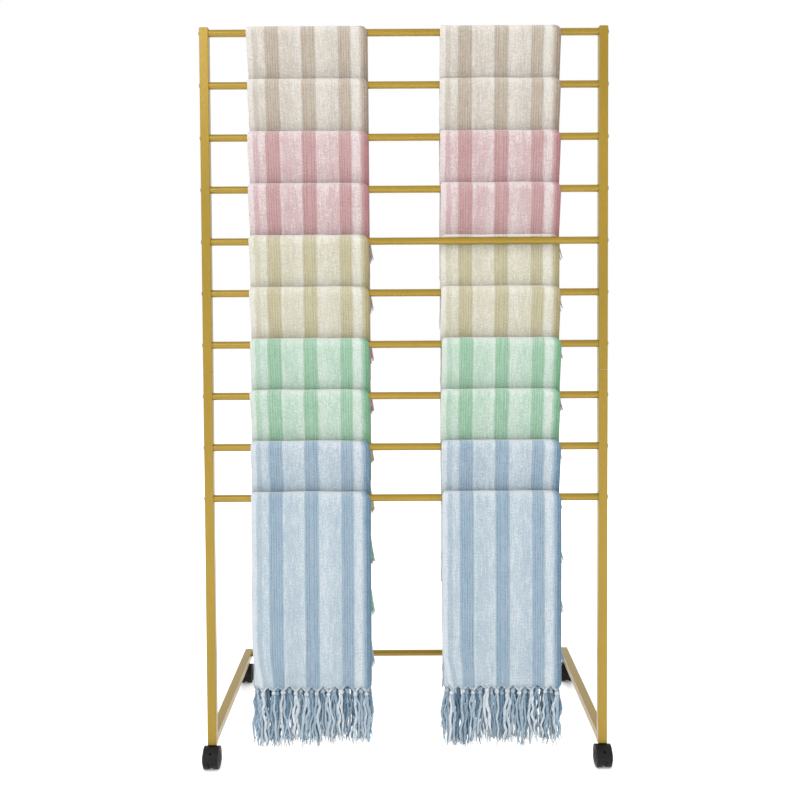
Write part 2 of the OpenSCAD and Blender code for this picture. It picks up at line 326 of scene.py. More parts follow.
def room_in_front(path, n):
    """How far each row of points may stand out or in, in metres."""
    room = np.full(len(path.z), 0.0001)
    if n == RUNGS:
        free = smooth((RUNG_Z[n] - path.z) / 0.10)
        return room + np.where(path.front, BOTTOM_HANGING_FOLDS * free, 0)
    here, below = RUNG_Z[n], RUNG_Z[n + 1] + 0.034
    t = np.clip((here - path.z) / (here - below), 0, 1)
    return room + np.where(path.front, HANGING_FOLDS * np.sin(math.pi * t) ** 1.5, 0)


def edge_swell(x, w, path, room):
    """The folded edge swells a little where nothing presses on it."""
    edge = smooth((x - (THROW_W / 2 - SWELL_REACH)) / SWELL_REACH)
    swell = np.where(path.front, room, 0)[:, None] * 0.6
    return edge * swell * np.where(w > 0, 1, 0.3)


def round_corners(x, path):
    """Places across, with the corners at the top of the fold drawn in."""
    moved = x.copy()
    for radius, sign, reach in CORNERS:
        h = np.clip(path.below - CLOTH_T / 2, 0, radius)
        pull = (radius - np.sqrt(radius ** 2 - (radius - h) ** 2))[:, None]
        near = smooth((sign * x - (THROW_W / 2 - reach)) / reach) ** 1.5
        moved -= sign * pull * near
    return moved


def edge_wander(rng, x, s):
    """How far the left edge strays from a ruler straight line."""
    slow = EDGE_WANDER * ripple(rng, 0 * s, s * 0.9, 4)
    quick = EDGE_NIBBLE * ripple(rng, 0 * s, s * 4, 4)
    return (slow + quick) * smooth((-x - 0.10) / 0.045)


def uneven(share):
    """Shares of the width as if the tassels were evenly spaced."""
    return share + 0.011 * np.sin(10.7 * share + 1.0) + 0.006 * np.sin(24.5 * share + 2.0)


def tassel_share(k):
    """Where along the hem tassel k hangs, 0 to 1."""
    grid = np.linspace(0, 1, 201)
    return float(np.interp((k + 0.5) / TASSELS, uneven(grid), grid))


def hem_pull(share):
    """How far the knots draw the front plies in at their left corner."""
    return HEM_PULL * smooth((HEM_PULL_SHARE - share) / HEM_PULL_SHARE)


def throw_points(rng, side, n, path, columns, aligned):
    """Points of the cloth's middle surface, rows along the path, columns round the section."""
    x, w, ply, pattern = section(rng, columns, aligned)
    shape = (len(path.s), len(x))
    xx = np.broadcast_to(x + rng.uniform(-SIDEWAYS, SIDEWAYS), shape)
    ss = np.broadcast_to(path.s[:, None], shape)
    room = room_in_front(path, n)
    lift = ripple(rng, xx, ss) * room[:, None] + edge_swell(xx, w, path, room)
    moved = round_corners(xx, path) + edge_wander(rng, xx, ss)
    near_hem = smooth(1 - path.rise / 0.09) * path.front * aligned
    moved += near_hem[:, None] * hem_pull(pattern) * ((ply == 1) | (ply == 2))
    # the crest of the fold isn't quite level
    crest = np.clip(path.out_z, 0, 1)[:, None] ** 4
    lift = lift + CREST_LIFT * crest * (1 + ripple(rng, xx, 0 * ss, 4))
    y = path.y[:, None] + path.out_y[:, None] * (w + lift)
    z = path.z[:, None] + path.out_z[:, None] * (w + lift)
    # hems of the four plies end a little apart, and arch up between the tassels
    drop = rng.uniform(-HEM_SPREAD, HEM_SPREAD, PLIES)[ply]
    rise = path.rise[:, None]
    z = z + drop * smooth(1 - rise / 0.03) * (path.below > 0.1)[:, None]
    arch = SCALLOP * np.abs(np.cos(math.pi * uneven(pattern) * TASSELS)) * aligned
    z = z + arch * np.clip(1 - rise / 0.02, 0, 1) ** 2
    points = np.stack([COLUMN_X[side] + moved, RUNG_Y + y, z], axis=-1)
    # for the material: across the pattern, along from the crest, and which ply it is
    along = ss - path.s[np.argmax(path.z)]
    own = ply * PLY_STEP + n * RUNG_STEP + (side == "left") * COLUMN_STEP
    weave = [np.broadcast_to(pattern * THROW_W, shape), along, np.broadcast_to(own, shape)]
    return points, np.stack(weave, axis=-1)


# ---------------------------------------------------------------- meshes

def make_object(name, points, faces, fields, body, material):
    """A mesh that rides on a body. fields are named vectors for the material's patterns."""
    mesh = bpy.data.meshes.new(name)
    mesh.from_pydata(points.tolist(), [], faces)
    for field_name, values in fields.items():
        field = mesh.attributes.new(field_name, "FLOAT_VECTOR", "POINT")
        field.data.foreach_set("vector", np.asarray(values, np.float32).ravel())
    mesh.polygons.foreach_set("use_smooth", np.ones(len(mesh.polygons), bool))
    mesh.materials.append(material)
    made = bpy.data.objects.new(name, mesh)
    bpy.context.scene.collection.objects.link(made)
    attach(made, body)
    return made


def surface_normals(grid):
    along = np.gradient(grid, axis=0)
    over = np.gradient(grid, axis=1)
    normal = np.cross(along, over)
    return normal / np.maximum(np.linalg.norm(normal, axis=-1, keepdims=True), 1e-12)


def grid_faces(rows, cols, start, flip):
    i, j = np.meshgrid(np.arange(rows - 1), np.arange(cols - 1), indexing="ij")
    a = (start + i * cols + j).ravel()
    quad = np.stack([a, a + 1, a + cols + 1, a + cols], axis=1)
    return (quad[:, ::-1] if flip else quad).tolist()


def rim_faces(rows, cols, other):
    """Quads that join the edges of two grids, the second starting at index other."""
    ring = [(0, j) for j in range(cols)] + [(i, cols - 1) for i in range(1, rows)]
    ring += [(rows - 1, j) for j in range(cols - 2, -1, -1)]
    ring += [(i, 0) for i in range(rows - 2, 0, -1)]
    index = [i * cols + j for i, j in ring]
    pairs = zip(index, index[1:] + index[:1])
    return [[b, a, other + a, other + b] for a, b in pairs]


def thick_cloth(points, weave):
    """Both faces and the rim of a thin closed cloth about a grid of middle points."""
    rows, cols = points.shape[:2]
    normal = surface_normals(points)
    upper = points + normal * PLY_T / 2
    lower = points - normal * PLY_T / 2
    verts = np.concatenate([upper.reshape(-1, 3), lower.reshape(-1, 3)])
    faces = grid_faces(rows, cols, 0, True)
    faces += grid_faces(rows, cols, rows * cols, False)
    faces += rim_faces(rows, cols, rows * cols)
    field = weave.reshape(-1, 3)
    return verts, faces, np.concatenate([field, field])


def tube_faces(rings, around, upward):
    """Sides and both ends of a tube of rings, the first at its bottom if it runs upward."""
    faces = []
    for start in range(0, (rings - 1) * around, around):
        for j in range(around):
            a, b = start + j, start + (j + 1) % around
            c, d = b + around, a + around
            faces.append([a, b, c, d] if upward else [a, d, c, b])
    first = list(range(around))
    last = list(range((rings - 1) * around, rings * around))
    return faces + ([first[::-1], last] if upward else [first, last[::-1]])


# ---------------------------------------------------------------- fringe

class Yarns:
    """Collects twisted yarns and knots into one mesh."""

    def __init__(self):
        self.points, self.faces, self.weave, self.twist, self.count = [], [], [], [], 0

    def add(self, points, faces, x_share, tone, twist):
        """Adds a piece. The weave holds its place across, its height and its tone."""
        self.points.append(points)
        self.faces += [[v + self.count for v in face] for face in faces]
        weave = np.empty((len(points), 3))
        weave[:, 0], weave[:, 2] = x_share, tone
        self.weave.append(weave)
        self.twist.append(twist)
        self.count += len(points)
        return weave

    def yarn(self, line, radius, sides, tone, x_share, turn=2.2, flat=0.66, phase=0.0):
        """A tapered yarn down a line of points, its section an ellipse that twists."""
        rings = len(line)
        a = 2 * math.pi * np.arange(sides) / sides
        twist = phase + turn * np.arange(rings)
        ca, sa = np.cos(a)[None], np.sin(a)[None] * flat
        ct, st = np.cos(twist)[:, None], np.sin(twist)[:, None]
        r = np.asarray(radius)[:, None]
        ring = np.stack([r * (ca * ct - sa * st), r * (ca * st + sa * ct),
                         np.zeros((rings, sides))], axis=-1)
        points = (line[:, None, :] + ring).reshape(-1, 3)
        height = np.repeat(line[:, 2], sides)
        around = np.stack([np.tile(np.cos(a), rings), np.tile(np.sin(a), rings), height], axis=1)
        tones = np.repeat(np.broadcast_to(tone, rings), sides)
        weave = self.add(points, tube_faces(rings, sides, False), x_share, tones, around)
        weave[:, 1] = height

    def knot(self, rng, centre, size, tone, x_share, around, up):
        """A lumpy bead with pinched poles."""
        lat = np.linspace(-math.pi / 2, math.pi / 2, up + 2)[1:-1]
        lon = 2 * math.pi * np.arange(around) / around + rng.uniform(0, 1)
        lump = 1 + 0.16 * np.sin(2 * lon[None] + 2.4 * lat[:, None] + rng.uniform(0, 6))
        ring = np.stack([np.cos(lat)[:, None] * np.cos(lon)[None] * lump * size[0],
                         np.cos(lat)[:, None] * np.sin(lon)[None] * lump * size[1],
                         np.sin(lat)[:, None] * np.ones(around)[None] * size[2]], axis=-1)
        bead = ring.reshape(-1, 3)
        points = bead + centre
        weave = self.add(points, tube_faces(up, around, True), x_share, tone, bead / size)
        weave[:, 1] = points[:, 2]


# Tassel layers from front to back: stand out from the ply, yarn radius, painted shade (more on
# layers further back), strands
LAYERS = {
    "shown": ((0.0055, 0.0042, 0.00, 2), (0.0010, 0.0040, 0.34, 3),
              (-0.0022, 0.0034, 0.52, 3), (-0.0042, 0.0030, 0.66, 3)),
    "behind": ((0.0014, 0.0026, 0.06, 3), (-0.0006, 0.0023, 0.35, 3)),
    "pressed": ((0.0, 0.0015, 0.20, 2),),
}
# The level of the ply that each layer hangs from, in ply pitches from the throw's middle
LAYER_PLIES = {"shown": (1.5, 0.5, -0.5, -1.5), "behind": (1.0, -1.0), "pressed": (0.0,)}
# How far each layer is set along the hem, in tassels
LAYER_STAGGER = (0.0, 0.5, 0.25, 0.75)
# How finely each kind is built: rings, sides, gathered yarns, frayed ends and knot, with
# the most its gathered yarns measure in radius, how far its strands sway in depth, and
# how far their tips stand off the fringe below
DETAIL = {
    "shown": {"rings": 18, "sides": 8, "yarns": 9, "frays": 3, "knot": (8, 5),
              "gather": 0.0020, "room": 0.0026, "ease": 0.0},
    "behind": {"rings": 9, "sides": 5, "yarns": 5, "frays": 1, "knot": (6, 4),
               "gather": 0.0020, "room": 0.0013, "ease": 0.0042},
    "pressed": {"rings": 7, "sides": 4, "yarns": 2, "frays": 0, "knot": (5, 3),
                "gather": 0.0013, "room": 0.0007, "ease": 0.0},
}
# Tones that a strand may have, and how often each comes
STRAND_TONES = (1.02, 0.88, 0.68, 0.44)
STRAND_TONE_ODDS = (0.35, 0.3, 0.2, 0.15)
# Thickness along a gathered yarn and along a frayed end, as shares
GATHER_TAPER = (0.45, 0.85, 0.95, 0.88, 0.78, 0.7)
FRAY_TAPER = (0.42, 0.40, 0.32, 0.14)
# Sideways waves of a tassel and of one strand: ranges of their size and their length
TASSEL_WAVE = ((0.0012, 0.0040), (0.08, 0.15))
STRAND_WAVE = ((0.0008, 0.0024), (0.035, 0.075))
# Pale inner tassels that show past the drawn-in corner of a bottom throw
PALE_TASSELS = 3
PALE_LAYER = (0.0, 0.0022, -0.35, 2)


class Hem:
    """One hem of a throw: where it hangs, which way is outward, and how its fringe is built."""

    def __init__(self, rng, yarns, side, n, face):
        self.rng, self.yarns, self.side = rng, yarns, side
        self.bottom = n == RUNGS
        self.z = RUNG_Z[n] - HEM_DROP
        self.curve = flap_curve(side, n, face)
        self.y = RUNG_Y + float(self.curve(self.z))
        self.out = -1 if face == FRONT else 1
        front_kind = "shown" if self.bottom else "pressed"
        self.kind = front_kind if face == FRONT else "behind"
        self.detail = DETAIL[self.kind]

    def fall(self, z):
        """How far the throws below push the fringe back at a height."""
        return self.curve(z) - self.curve(self.z)


def gather(hem, x, y, hem_z, knot, share, painted_shade):
    """Warp yarns drawn together from the hem into the knot, wide at first."""
    count = hem.detail["yarns"]
    reach = 0.5 / TASSELS
    t = np.linspace(0, 1, len(GATHER_TAPER))
    width = min(1.15 * reach * THROW_W / count, hem.detail["gather"])
    for spread in np.linspace(-0.95, 0.95, count):
        own = min(max(share + spread * reach, 0.012), 0.988)
        arch = SCALLOP * abs(math.sin(math.pi / 2 * spread)) * (hem.kind == "shown")
        start = np.array([x + (own - share) * THROW_W, y, hem_z + arch + 0.001])
        line = start + (knot - start) * t[:, None]
        line[:, 0] = knot[0] + (start[0] - knot[0]) * (1 - 0.93 * smooth(t * 1.05))
        # painted shade of the rear layers darkens the gathered yarns
        tone = 0.88 + 0.2 * hem.rng.random() - 1.5 * painted_shade
        hem.yarns.yarn(line, width * np.array(GATHER_TAPER), 5, tone, own * THROW_W)


def strand(hem, line, radius, tone, x_share):
    """One loose plied yarn along a line, its end frayed into thinner ones."""
    rng = hem.rng
    t = np.linspace(0, 1, len(line))
    shape = np.interp(t, [0, 0.06, 0.5, 0.9, 1], [0.7, 1, 1, 0.85, 0.45])
    lumps = 1 + 0.10 * np.sin(2 * math.pi * 5 * t + rng.uniform(0, 6))
    hem.yarns.yarn(line, radius * shape * lumps, hem.detail["sides"], tone, x_share,
                   turn=0.5, flat=0.8, phase=rng.uniform(0, 6))
    u = np.linspace(0, 1, len(FRAY_TAPER))
    for _ in range(hem.detail["frays"]):
        start = line[-1 - rng.integers(1, max(2, len(line) // 4))]
        down = rng.uniform(0.010, 0.026) * u
        hair = np.stack([start[0] + rng.uniform(-1.6, 1.6) * radius * smooth(u),
                         start[1] + hem.out * rng.uniform(-0.4, 0.4) * radius * u,
                         np.maximum(start[2] - down, TIP_FLOOR - 0.0006 * u)], axis=1)
        hair[:, 1] += hem.fall(hair[:, 2]) - hem.fall(start[2])
        hem.yarns.yarn(hair, radius * np.array(FRAY_TAPER), 4, tone[-1], x_share)


def side_wave(rng, down, sizes, lengths):
    """A sideways wave at distances down a strand, drawn from ranges of size and length."""
    size = rng.uniform(*sizes)
    return size * np.sin(2 * math.pi * (down / rng.uniform(*lengths) + rng.random()))


def tassel(hem, x, y, hem_z, length, layer, share, lean=0.0):
    """One tassel hung at x, y: gathered yarns, a knot and loose strands."""
    rng, detail = hem.rng, hem.detail
    stand, radius, painted_shade, count = layer
    knot = np.array([x + rng.uniform(-0.002, 0.002), y + hem.out * stand,
                     hem_z - KNOT_DROP * rng.uniform(0.6, 1.3)])
    knot[1] += hem.fall(knot[2])
    gather(hem, x, y, hem_z, knot, share, painted_shade)
    size = np.array(KNOT_SIZE) * radius * rng.uniform(0.85, 1.15)
    # the knot's tone also carries the layer's painted shade
    hem.yarns.knot(rng, knot, size, 1.15 - 1.5 * painted_shade, share * THROW_W, *detail["knot"])
    t = np.linspace(0, 1, detail["rings"])
    settle = smooth(t / 0.25)
    sway = side_wave(rng, t * length, *TASSEL_WAVE) * settle
    lean = lean + rng.normal(0, 0.003)
    first = rng.uniform(0, 2 * math.pi)
    top = knot[2] - 0.4 * size[2]
    # painted shade down each strand, strongest near the knot, times the layer's painted shade
    shade = np.interp(t, [0, 0.5, 1], [1.6, 1.1, 0.7])
    ease = detail["ease"] * smooth((t - 0.55) / 0.45)
    for k in range(count):
        beside = (k + 0.5 - count / 2) * 1.75 * radius * (0.30 + 0.70 * settle + 0.25 * t)
        tip = max(top - length * rng.uniform(0.88, 1.0), TIP_FLOOR)
        own = side_wave(rng, t * length, *STRAND_WAVE) * settle
        depth = 0.9 * radius * np.sin(first + 2.4 * k + rng.uniform(-2.5, 2.5) * t)
        depth = np.clip(depth, -detail["room"], detail["room"]) + ease
        height = top + (tip - top) * t
        back = knot[1] + hem.out * depth + hem.fall(height) - hem.fall(top)
        line = np.stack([knot[0] + beside + sway + own + lean * t, back, height], axis=1)
        tone = STRAND_TONES[rng.choice(4, p=STRAND_TONE_ODDS)] - painted_shade * shade
        strand(hem, line, radius * rng.uniform(0.60, 1.22), tone, share * THROW_W)


def edge_tuft(hem, flare):
    """The tassel at the folded edge, swung out past it, its inner yarns the longest."""
    rng = hem.rng
    x = COLUMN_X[hem.side] + THROW_W / 2 - TUFT_INSET
    top = hem.z - 0.004
    t = np.linspace(0, 1, 8)
    radius = TUFT_YARN_R * np.interp(t, [0, 0.2, 0.75, 1], [0.6, 1, 1, 0.4])
    for k in range(TUFT_YARNS):
        q = k / (TUFT_YARNS - 1)
        tip = hem.z - TUFT_LENGTH - TUFT_EXTRA * q - rng.uniform(0, 0.005)
        swing = flare * (1 - q) - 0.004 * q
        depth = hem.out * rng.uniform(-0.0008, 0.0008) * smooth(t * 3)
        line = np.stack([x - 0.0025 * q + swing * t ** 1.35, hem.y + depth,
                         top + (tip - top) * t], axis=1)
        line[:, 1] += hem.fall(line[:, 2])
        hem.yarns.yarn(line, radius, 5, rng.uniform(0.30, 0.55), 0.9 * THROW_W,
                       turn=0.4, flat=0.8, phase=rng.uniform(0, 6))


def pale_tassels(hem):
    """The pale tassels at the left of a bottom throw's back hem, each shorter than the last."""
    for k in range(PALE_TASSELS):
        x = COLUMN_X[hem.side] - THROW_W / 2 + 0.008 + 0.004 * k
        tassel(hem, x, hem.y, hem.z, 0.118 - 0.014 * k, PALE_LAYER, 0.02,
               lean=-0.009 + 0.003 * k)


def hem_fringe(hem, wave_at):
    """All tassels of one hem. wave_at gives how far the shown ply stands out at x."""
    rng, shown = hem.rng, hem.kind == "shown"
    longest = FRINGE_LEN - KNOT_DROP
    if hem.kind == "pressed":
        # it ends above the knots of the throw below
        longest = RUNG_Z[1] - RUNG_Z[2] - KNOT_DROP - TIP_CLEAR
    for number, layer in enumerate(LAYERS[hem.kind]):
        level = LAYER_PLIES[hem.kind][number] * PLY_PITCH
        for k in range(TASSELS):
            share = tassel_share((k + LAYER_STAGGER[number]) % (TASSELS - 0.5))
            share = min(max(share, 0.035), 0.965)
            x = COLUMN_X[hem.side] + (share - 0.5) * THROW_W
            if shown and number == 0:
                x += hem_pull(share)
            low, high = (0.95, 1.0) if share < 0.30 else (0.80, 0.95)
            y = hem.y + hem.out * (level + (wave_at(x) if shown else 0))
            hem_z = hem.z + rng.uniform(-0.001, 0.001)
            tassel(hem, x, y, hem_z, longest * rng.uniform(low, high), layer, share)
    if not shown:
        flare = BOTTOM_FLARE if hem.bottom else rng.uniform(0.010, 0.012) + TUFT_FLARE[hem.side]
        edge_tuft(hem, flare)
        if hem.bottom:
            pale_tassels(hem)


# ---------------------------------------------------------------- materials

def linear(rgb, gain=1.0):
    """8-bit sRGB to scene-linear."""
    c = np.array(rgb) / 255
    value = np.where(c <= 0.04045, c / 12.92, ((c + 0.055) / 1.055) ** 2.4) * gain
    return (*[float(v) for v in value], 1.0)


class Tree:
    """Short calls for building a material's nodes."""

    def __init__(self, name):
        self.material = bpy.data.materials.new(name)
        self.material.use_nodes = True
        self.nodes = self.material.node_tree.nodes
        self.links = self.material.node_tree.links
        self.nodes.clear()
        self.shader = self.nodes.new("ShaderNodeBsdfPrincipled")
        output = self.nodes.new("ShaderNodeOutputMaterial")
        self.links.new(self.shader.outputs["BSDF"], output.inputs["Surface"])

    def put(self, socket, value):
        if isinstance(value, bpy.types.NodeSocket):
            self.links.new(value, socket)
        else:
            socket.default_value = value

    def set(self, **values):
        for name, value in values.items():
            self.put(self.shader.inputs[name.replace("_", " ")], value)

    def math(self, operation, *values, clamp=False):
        node = self.nodes.new("ShaderNodeMath")
        node.operation, node.use_clamp = operation, clamp
        for socket, value in zip(node.inputs, values):
            self.put(socket, value)
        return node.outputs[0]

    def total(self, first, *others):
        for other in others:
            first = self.math("ADD", first, other)
        return first

    def either_way(self, pattern, amount):
        """A pattern of 0 to 1 as a shift up or down."""
        return self.math("MULTIPLY", self.math("SUBTRACT", pattern, 0.5), amount)

    def noise(self, vector, scale, detail=2.0, roughness=0.5):
        node = self.nodes.new("ShaderNodeTexNoise")
        self.put(node.inputs["Vector"], vector)
        for name, value in (("Scale", scale), ("Detail", detail), ("Roughness", roughness)):
            node.inputs[name].default_value = value
        return node.outputs[0]

    def stretched_noise(self, vector, scale, detail=2.0, roughness=0.5):
        """Noise with its own scale along each axis."""
        node = self.nodes.new("ShaderNodeVectorMath")
        node.operation = "MULTIPLY"
        self.put(node.inputs[0], vector)
        node.inputs[1].default_value = scale
        return self.noise(node.outputs[0], 1.0, detail, roughness)

    def waves(self, along, pitch):
        return self.math("SINE", self.math("MULTIPLY", along, 2 * math.pi / pitch))

    def ramp(self, factor, stops, grey=False):
        node = self.nodes.new("ShaderNodeValToRGB")
        self.put(node.inputs[0], factor)
        elements = node.color_ramp.elements
        while len(elements) < len(stops):
            elements.new(0.5)
        for element, (position, colour) in zip(elements, stops):
            element.position = position
            element.color = (colour,) * 3 + (1,) if grey else colour
        return node.outputs[0]

    def throw_ramp(self, tone, colour, gain):
        """A throw's colours: deep (used for painted shade) at tone 0, then stripe and ground,
        and pale at tone 1.
        """
        tones = (0, STRIPE_TONE, GROUND_TONE, 1)
        return self.ramp(tone, [(at, linear(c, gain)) for at, c in zip(tones, PALETTE[colour])])

    def mix(self, factor, a, b):
        node = self.nodes.new("ShaderNodeMix")
        node.data_type = "RGBA"
        self.put(node.inputs[0], factor)
        self.put(node.inputs[6], a)
        self.put(node.inputs[7], b)
        return node.outputs[2]

    def bump(self, height, strength, distance):
        node = self.nodes.new("ShaderNodeBump")
        node.inputs["Strength"].default_value = strength
        node.inputs["Distance"].default_value = distance
        self.put(node.inputs["Height"], height)
        return node.outputs[0]

    def position(self):
        return self.nodes.new("ShaderNodeTexCoord").outputs["Object"]

    def field(self, name):
        node = self.nodes.new("ShaderNodeAttribute")
        node.attribute_name = name
        return node.outputs["Vector"]

    def split(self, vector):
        node = self.nodes.new("ShaderNodeSeparateXYZ")
        self.put(node.inputs[0], vector)
        return node.outputs


# Noises of the weave: scale across, along and from ply to ply, then detail and roughness
WEAVE_NOISES = {
    "wobble": ((40, 9, 3), 2.0, 0.5),
    "fading": ((260, 6, 5), 2.0, 0.5),
    "warp": ((620, 34, 7), 2.0, 0.6),
    "weft": ((70, 560, 7), 2.0, 0.6),
    "melange": ((330, 260, 11), 3.0, 0.7),
    "cloud": ((16, 12, 5), 2.0, 0.5),
    "slub": ((160, 22, 3), 1.0, 0.5),
    "pucker": ((230, 170, 11), 2.0, 0.6),
}
# How much each of them shifts the tone
TONE_SHIFTS = {"warp": 0.50, "weft": 0.34, "melange": 0.86, "cloud": 0.18, "slub": 0.24}
STRIPE_WOBBLE = 0.0016
PINSTRIPE_PITCH = 0.0062
PINSTRIPE_SHIFT = 0.24
# Painted highlight along the crest of each fold: how much it lightens the tone, and its width
CREST_HIGHLIGHT_SHIFT = 0.48
CREST_HIGHLIGHT_WIDTH = 0.0060
WARP_PITCH = 0.0021
WEFT_PITCH = 0.0023
YARN_TWIST_PITCH = 0.022


def throw_material(colour):
    """Woven striped cotton: uneven warp and weft yarns, pinstripes inside the wide stripes, a
    painted highlight along the fold's crest and painted shade at the rolled edge.
    """
    t = Tree(f"throw_{colour}")
    weave = t.field("weave")
    x, s = t.split(weave)[0:2]
    noises = {name: t.stretched_noise(weave, *how) for name, how in WEAVE_NOISES.items()}
    place = t.math("ADD", x, t.either_way(noises["wobble"], STRIPE_WOBBLE))
    tone = t.ramp(t.math("DIVIDE", place, THROW_W), STRIPES_AND_EDGE_SHADE, grey=True)
    # thin light and dark lines in the stripes
    in_stripe = t.math("LESS_THAN", tone, 0.5)
    lines = t.math("MULTIPLY", t.waves(place, PINSTRIPE_PITCH), noises["fading"])
    shift = t.math("MULTIPLY", t.math("MULTIPLY", lines, in_stripe), PINSTRIPE_SHIFT)
    for name, amount in TONE_SHIFTS.items():
        shift = t.math("ADD", shift, t.either_way(noises[name], amount))
    # painted highlight: a paler tone along the crest of the fold
    off_crest = t.math("MULTIPLY", s, 1 / CREST_HIGHLIGHT_WIDTH)
    squared = t.math("MULTIPLY", off_crest, off_crest)
    crest = t.math("DIVIDE", CREST_HIGHLIGHT_SHIFT, t.math("ADD", 1.0, squared))
    tone = t.math("ADD", tone, t.math("ADD", shift, crest), clamp=True)
    # raised yarns for the bump
    cells = t.math("MULTIPLY", t.waves(x, WARP_PITCH), t.waves(s, WEFT_PITCH))
    height = t.total(t.math("MULTIPLY", cells, 0.25), t.math("MULTIPLY", noises["warp"], 0.8),
                     t.math("ADD", noises["weft"], noises["melange"]),
                     t.math("MULTIPLY", noises["pucker"], 2.2))
    t.set(Base_Color=t.throw_ramp(tone, colour, CLOTH_GAIN), Normal=t.bump(height, 0.7, 0.0016))
    t.set(Roughness=t.math("ADD", 0.80, t.math("MULTIPLY", noises["melange"], 0.18)))
    t.set(Specular_IOR_Level=0.25, Sheen_Weight=0.22, Sheen_Roughness=0.55)
    return t.material


def yarn_material(colour):
    """Loose two-ply cotton yarn. The fringe's third weave value is its tone, with the painted
    shade of the rear tassel layers in it.
    """
    t = Tree(f"fringe_{colour}")
    x, _, tone = t.split(t.field("weave"))[0:3]
    cosine, sine, along = t.split(t.field("twist"))[0:3]
    place = t.position()
    turn = t.math("MULTIPLY", along, 2 * math.pi / YARN_TWIST_PITCH)
    facing = t.math("ADD", t.math("MULTIPLY", cosine, t.math("COSINE", turn)),
                    t.math("MULTIPLY", sine, t.math("SINE", turn)))
    plies = t.math("MULTIPLY", facing, facing)
    stripes = t.ramp(t.math("DIVIDE", x, THROW_W), STRIPES_AND_EDGE_SHADE, grey=True)
    tinted = t.math("MULTIPLY", t.math("SUBTRACT", stripes, GROUND_TONE), 0.5)
    fibre = t.stretched_noise(place, (900, 900, 260), 2.0, 0.6)
    mottle = t.stretched_noise(place, (240, 240, 90))
    value = t.math("ADD", tone, tinted)
    for pattern, amount in ((fibre, 0.5), (mottle, 0.6), (plies, 0.20)):
        value = t.math("ADD", value, t.either_way(pattern, amount))
    value = t.math("MAXIMUM", value, 0.0)
    height = t.total(fibre, mottle, t.math("MULTIPLY", plies, 0.8))
    t.set(Base_Color=t.throw_ramp(value, colour, YARN_GAIN), Normal=t.bump(height, 0.5, 0.0012))
    t.set(Roughness=t.math("ADD", 0.82, t.math("MULTIPLY", fibre, 0.15)))
    t.set(Specular_IOR_Level=0.2, Sheen_Weight=0.25, Sheen_Roughness=0.5)
    return t.material


def gold_material(name, base, light):
    """Satin gold paint on steel: faint orange peel, cloudy tint, slightly uneven gloss."""
    t = Tree(name)
    place = t.position()
    cloud = t.stretched_noise(place, (5, 5, 2.2), 3.0)
    grain = t.noise(place, 900, 2.0)
    peel = t.noise(place, 330, 1.0)
    speck = t.math("GREATER_THAN", t.noise(place, 520, 1.0), 0.735)
    tint = t.ramp(cloud, ((0.32, linear(base)), (0.68, linear(light))))
    tint = t.mix(t.math("MULTIPLY", speck, 0.25), tint, linear((226, 202, 132)))
    height = t.math("ADD", t.math("MULTIPLY", grain, 0.35), peel)
    t.set(Base_Color=tint, Metallic=0.55, Specular_IOR_Level=0.2)
    rough = t.math("ADD", 0.30, t.math("MULTIPLY", cloud, 0.12))
    t.set(Roughness=t.math("ADD", rough, t.math("MULTIPLY", grain, 0.08)))
    t.set(Normal=t.bump(height, 0.16, 0.0004), Coat_Weight=0.6, Coat_Roughness=0.3)
    return t.material


def steel_material():
    """Zinc-plated steel with fine turning marks."""
    t = Tree("steel")
    place = t.position()
    marks = t.stretched_noise(place, (300, 300, 2600))
    cloud = t.noise(place, 30, 2.0)
    tint = t.ramp(cloud, ((0.3, linear((150, 152, 156))), (0.7, linear((186, 188, 190)))))
    t.set(Base_Color=tint, Metallic=1.0, Normal=t.bump(marks, 0.15, 0.0003))
    t.set(Roughness=t.math("ADD", 0.24, t.math("MULTIPLY", marks, 0.16)))
    return t.material


def plastic_material(name, dark, pale, roughness, scuffs):
    """Moulded black plastic: spark-eroded grain, faint dust and scuffs."""
    t = Tree(name)
    place = t.position()
    grain = t.noise(place, 1400, 2.0)
    cloud = t.noise(place, 45, 3.0)
    scuff = t.stretched_noise(place, (120, 900, 120), 3.0, 0.7)
    worn = t.math("MULTIPLY", t.math("GREATER_THAN", scuff, 0.66), scuffs)
    tint = t.ramp(cloud, ((0.3, linear(dark)), (0.75, linear(pale))))
    tint = t.mix(worn, tint, linear((70, 70, 72)))
    t.set(Base_Color=tint, Specular_IOR_Level=0.16)
    t.set(Roughness=t.math("ADD", roughness, t.math("MULTIPLY", cloud, 0.18)))
    t.set(Normal=t.bump(grain, 0.25, 0.0003))
    return t.material


GOLD = gold_material("gold_paint", (131, 107, 21), (142, 115, 28))
GOLD_CAPS = gold_material("gold_caps", (137, 111, 26), (149, 122, 36))
STEEL = steel_material()
BLACK = plastic_material("black_plastic", (14, 14, 15), (24, 24, 25), 0.42, 0.08)
WHEEL = plastic_material("wheel_plastic", (12, 12, 13), (22, 22, 24), 0.38, 0.14)


def dress(node, material):
    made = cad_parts[node]
    made.data.materials.clear()
    made.data.materials.append(material)


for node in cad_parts:
    if node in ("end_caps", "rung_screws"):
        dress(node, GOLD_CAPS)
    elif node in ("sleeve_connectors", "rung_end_plugs") or node.endswith("_pins"):
        dress(node, STEEL)
    elif node.endswith("_hood") or node == "caster_sockets":
        dress(node, BLACK)
    elif "_wheel_" in node:
        dress(node, WHEEL)
    elif not node.startswith("quilt_"):
        dress(node, GOLD)


# ---------------------------------------------------------------- throws

def front_hem_wave(side, n, path, points, weave):
    """A function from x to how far the outermost ply's front hem stands out of its place."""
    ply = weave[0, :, 2]
    outer = np.abs(ply - ply.min() - PLY_STEP) < 0.01
    order = np.argsort(points[0, outer, 0])
    xs, ys = points[0, outer, 0][order], points[0, outer, 1][order]
    flat = RUNG_Y + float(flap_curve(side, n, FRONT)(path.hem)) - 1.5 * PLY_PITCH
    return lambda x: flat - float(np.interp(x, xs, ys))


